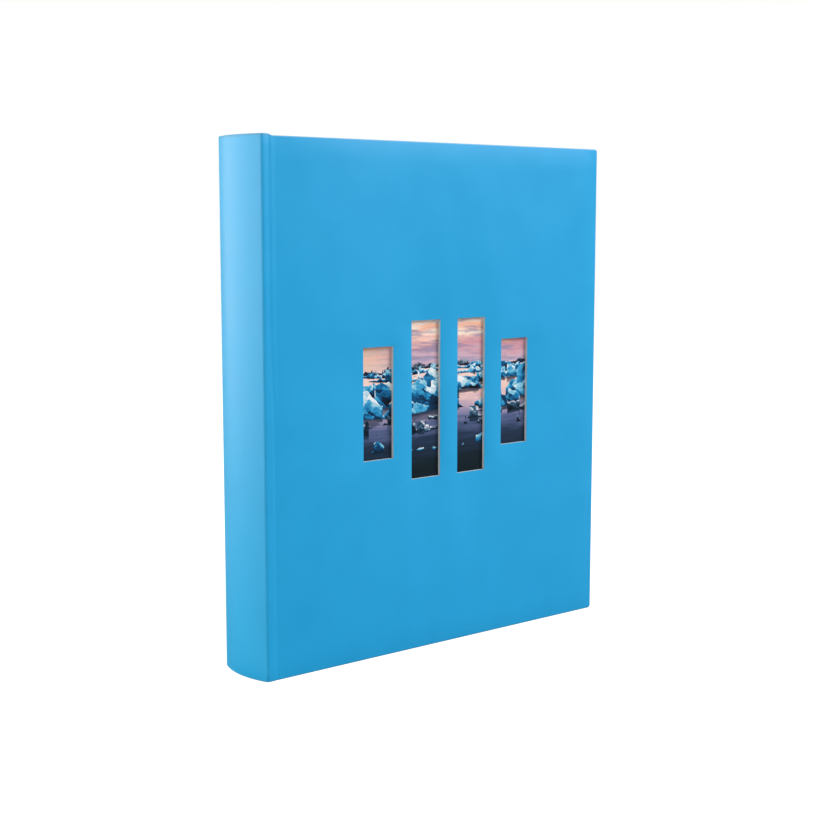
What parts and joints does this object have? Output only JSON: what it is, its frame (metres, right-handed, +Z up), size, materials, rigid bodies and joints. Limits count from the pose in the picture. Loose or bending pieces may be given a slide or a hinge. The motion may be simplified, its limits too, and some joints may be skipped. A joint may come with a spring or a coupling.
{
  "type": "scrapbook album",
  "caption": "Large bound scrapbook album in blue paper, with tall windows cut in its front cover over a picture, standing closed on its lower edges.",
  "frame": {"origin": "middle of the footprint of the closed, standing album, on the surface that it stands on", "axes": "+Z up the spine, +X from the spine to the fore-edge, +Y from the front cover to the back cover"},
  "size_m": [0.278, 0.046, 0.321],
  "materials": {
    "cover_paper": "matt blue covering paper",
    "greyboard": "raw grey bookbinding board",
    "kraft_paper": "brown kraft paper",
    "picture": "satin printed picture",
    "endpaper": "smooth white endpaper",
    "page_card": "lightly textured ivory card",
    "glassine": "translucent glazed tissue",
    "mull": "open-weave cotton",
    "glue": "dried bookbinding glue",
    "headband": "woven blue and white cotton"
  },
  "bodies": {
    "binding": {"spine_board": "greyboard", "spine_wrap": "cover_paper", "spine_lining": "kraft_paper", "mull_cloth": "mull", "spine_glue": "glue", "headband_top": "headband", "headband_bottom": "headband", "leaf_stubs": "page_card", "spacer_strips": "page_card", "endpaper_folds": "endpaper"},
    "front_cover": {"front_cover_wrap": "cover_paper", "front_cover_board": "greyboard", "window_print": "picture", "window_backing_card": "greyboard", "front_pastedown": "endpaper"},
    "back_cover": {"back_cover_wrap": "cover_paper", "back_cover_board": "greyboard", "back_pastedown": "endpaper"},
    "front_flyleaf": {"front_flyleaf": "endpaper"},
    "back_flyleaf": {"back_flyleaf": "endpaper"},
    "leaf_01": {"leaf_01": "page_card", "interleaf_01": "glassine"},
    "leaf_02": {"leaf_02": "page_card", "interleaf_02": "glassine"},
    "leaf_03": {"leaf_03": "page_card", "interleaf_03": "glassine"},
    "leaf_04": {"leaf_04": "page_card", "interleaf_04": "glassine"},
    "leaf_05": {"leaf_05": "page_card", "interleaf_05": "glassine"},
    "leaf_06": {"leaf_06": "page_card", "interleaf_06": "glassine"},
    "leaf_07": {"leaf_07": "page_card", "interleaf_07": "glassine"},
    "leaf_08": {"leaf_08": "page_card", "interleaf_08": "glassine"},
    "leaf_09": {"leaf_09": "page_card", "interleaf_09": "glassine"},
    "leaf_10": {"leaf_10": "page_card", "interleaf_10": "glassine"},
    "leaf_11": {"leaf_11": "page_card", "interleaf_11": "glassine"},
    "leaf_12": {"leaf_12": "page_card", "interleaf_12": "glassine"},
    "leaf_13": {"leaf_13": "page_card", "interleaf_13": "glassine"},
    "leaf_14": {"leaf_14": "page_card", "interleaf_14": "glassine"},
    "leaf_15": {"leaf_15": "page_card", "interleaf_15": "glassine"},
    "leaf_16": {"leaf_16": "page_card", "interleaf_16": "glassine"},
    "leaf_17": {"leaf_17": "page_card", "interleaf_17": "glassine"},
    "leaf_18": {"leaf_18": "page_card", "interleaf_18": "glassine"},
    "leaf_19": {"leaf_19": "page_card", "interleaf_19": "glassine"},
    "leaf_20": {"leaf_20": "page_card", "interleaf_20": "glassine"}
  },
  "joints": [
    {"name": "front_cover_hinge", "type": "hinge", "parent": "binding", "child": "front_cover", "pos_m": [-0.1275, -0.0233, 0.16], "axis": [0, 0, 1], "range_deg": [-180, 0]},
    {"name": "back_cover_hinge", "type": "hinge", "parent": "binding", "child": "back_cover", "pos_m": [-0.1275, 0.0233, 0.16], "axis": [0, 0, 1], "range_deg": [0, 180]},
    {"name": "front_flyleaf_turn", "type": "hinge", "parent": "binding", "child": "front_flyleaf", "pos_m": [-0.1207, -0.01912, 0.16], "axis": [0, 0, 1], "range_deg": [-100, 0]},
    {"name": "back_flyleaf_turn", "type": "hinge", "parent": "binding", "child": "back_flyleaf", "pos_m": [-0.1207, 0.01912, 0.16], "axis": [0, 0, 1], "range_deg": [0, 100]},
    {"name": "leaf_01_turn", "type": "hinge", "parent": "binding", "child": "leaf_01", "pos_m": [-0.1167, -0.01781, 0.16], "axis": [0, 0, 1], "range_deg": [-68, 0]},
    {"name": "leaf_02_turn", "type": "hinge", "parent": "binding", "child": "leaf_02", "pos_m": [-0.1167, -0.01594, 0.16], "axis": [0, 0, 1], "range_deg": [-61, 0]},
    {"name": "leaf_03_turn", "type": "hinge", "parent": "binding", "child": "leaf_03", "pos_m": [-0.1167, -0.01406, 0.16], "axis": [0, 0, 1], "range_deg": [-54, 0]},
    {"name": "leaf_04_turn", "type": "hinge", "parent": "binding", "child": "leaf_04", "pos_m": [-0.1167, -0.01219, 0.16], "axis": [0, 0, 1], "range_deg": [-47, 0]},
    {"name": "leaf_05_turn", "type": "hinge", "parent": "binding", "child": "leaf_05", "pos_m": [-0.1167, -0.01031, 0.16], "axis": [0, 0, 1], "range_deg": [-40, 0]},
    {"name": "leaf_06_turn", "type": "hinge", "parent": "binding", "child": "leaf_06", "pos_m": [-0.1167, -0.00844, 0.16], "axis": [0, 0, 1], "range_deg": [-33, 0]},
    {"name": "leaf_07_turn", "type": "hinge", "parent": "binding", "child": "leaf_07", "pos_m": [-0.1167, -0.00656, 0.16], "axis": [0, 0, 1], "range_deg": [-26, 0]},
    {"name": "leaf_08_turn", "type": "hinge", "parent": "binding", "child": "leaf_08", "pos_m": [-0.1167, -0.00469, 0.16], "axis": [0, 0, 1], "range_deg": [-19, 0]},
    {"name": "leaf_09_turn", "type": "hinge", "parent": "binding", "child": "leaf_09", "pos_m": [-0.1167, -0.00281, 0.16], "axis": [0, 0, 1], "range_deg": [-12, 0]},
    {"name": "leaf_10_turn", "type": "hinge", "parent": "binding", "child": "leaf_10", "pos_m": [-0.1167, -0.00094, 0.16], "axis": [0, 0, 1], "range_deg": [-5, 0]},
    {"name": "leaf_11_turn", "type": "hinge", "parent": "binding", "child": "leaf_11", "pos_m": [-0.1167, 0.00094, 0.16], "axis": [0, 0, 1], "range_deg": [0, 5]},
    {"name": "leaf_12_turn", "type": "hinge", "parent": "binding", "child": "leaf_12", "pos_m": [-0.1167, 0.00281, 0.16], "axis": [0, 0, 1], "range_deg": [0, 12]},
    {"name": "leaf_13_turn", "type": "hinge", "parent": "binding", "child": "leaf_13", "pos_m": [-0.1167, 0.00469, 0.16], "axis": [0, 0, 1], "range_deg": [0, 19]},
    {"name": "leaf_14_turn", "type": "hinge", "parent": "binding", "child": "leaf_14", "pos_m": [-0.1167, 0.00656, 0.16], "axis": [0, 0, 1], "range_deg": [0, 26]},
    {"name": "leaf_15_turn", "type": "hinge", "parent": "binding", "child": "leaf_15", "pos_m": [-0.1167, 0.00844, 0.16], "axis": [0, 0, 1], "range_deg": [0, 33]},
    {"name": "leaf_16_turn", "type": "hinge", "parent": "binding", "child": "leaf_16", "pos_m": [-0.1167, 0.01031, 0.16], "axis": [0, 0, 1], "range_deg": [0, 40]},
    {"name": "leaf_17_turn", "type": "hinge", "parent": "binding", "child": "leaf_17", "pos_m": [-0.1167, 0.01219, 0.16], "axis": [0, 0, 1], "range_deg": [0, 47]},
    {"name": "leaf_18_turn", "type": "hinge", "parent": "binding", "child": "leaf_18", "pos_m": [-0.1167, 0.01406, 0.16], "axis": [0, 0, 1], "range_deg": [0, 54]},
    {"name": "leaf_19_turn", "type": "hinge", "parent": "binding", "child": "leaf_19", "pos_m": [-0.1167, 0.01594, 0.16], "axis": [0, 0, 1], "range_deg": [0, 61]},
    {"name": "leaf_20_turn", "type": "hinge", "parent": "binding", "child": "leaf_20", "pos_m": [-0.1167, 0.01781, 0.16], "axis": [0, 0, 1], "range_deg": [0, 68]}
  ],
  "couplings": [
    {"joint": "front_flyleaf_turn", "follows": "front_cover_hinge", "ratio": 0.55556},
    {"joint": "back_flyleaf_turn", "follows": "back_cover_hinge", "ratio": 0.55556},
    {"joint": "leaf_01_turn", "follows": "front_cover_hinge", "ratio": 0.37778},
    {"joint": "leaf_02_turn", "follows": "front_cover_hinge", "ratio": 0.33889},
    {"joint": "leaf_03_turn", "follows": "front_cover_hinge", "ratio": 0.3},
    {"joint": "leaf_04_turn", "follows": "front_cover_hinge", "ratio": 0.26111},
    {"joint": "leaf_05_turn", "follows": "front_cover_hinge", "ratio": 0.22222},
    {"joint": "leaf_06_turn", "follows": "front_cover_hinge", "ratio": 0.18333},
    {"joint": "leaf_07_turn", "follows": "front_cover_hinge", "ratio": 0.14444},
    {"joint": "leaf_08_turn", "follows": "front_cover_hinge", "ratio": 0.10556},
    {"joint": "leaf_09_turn", "follows": "front_cover_hinge", "ratio": 0.066667},
    {"joint": "leaf_10_turn", "follows": "front_cover_hinge", "ratio": 0.027778},
    {"joint": "leaf_11_turn", "follows": "back_cover_hinge", "ratio": 0.027778},
    {"joint": "leaf_12_turn", "follows": "back_cover_hinge", "ratio": 0.066667},
    {"joint": "leaf_13_turn", "follows": "back_cover_hinge", "ratio": 0.10556},
    {"joint": "leaf_14_turn", "follows": "back_cover_hinge", "ratio": 0.14444},
    {"joint": "leaf_15_turn", "follows": "back_cover_hinge", "ratio": 0.18333},
    {"joint": "leaf_16_turn", "follows": "back_cover_hinge", "ratio": 0.22222},
    {"joint": "leaf_17_turn", "follows": "back_cover_hinge", "ratio": 0.26111},
    {"joint": "leaf_18_turn", "follows": "back_cover_hinge", "ratio": 0.3},
    {"joint": "leaf_19_turn", "follows": "back_cover_hinge", "ratio": 0.33889},
    {"joint": "leaf_20_turn", "follows": "back_cover_hinge", "ratio": 0.37778}
  ]
}
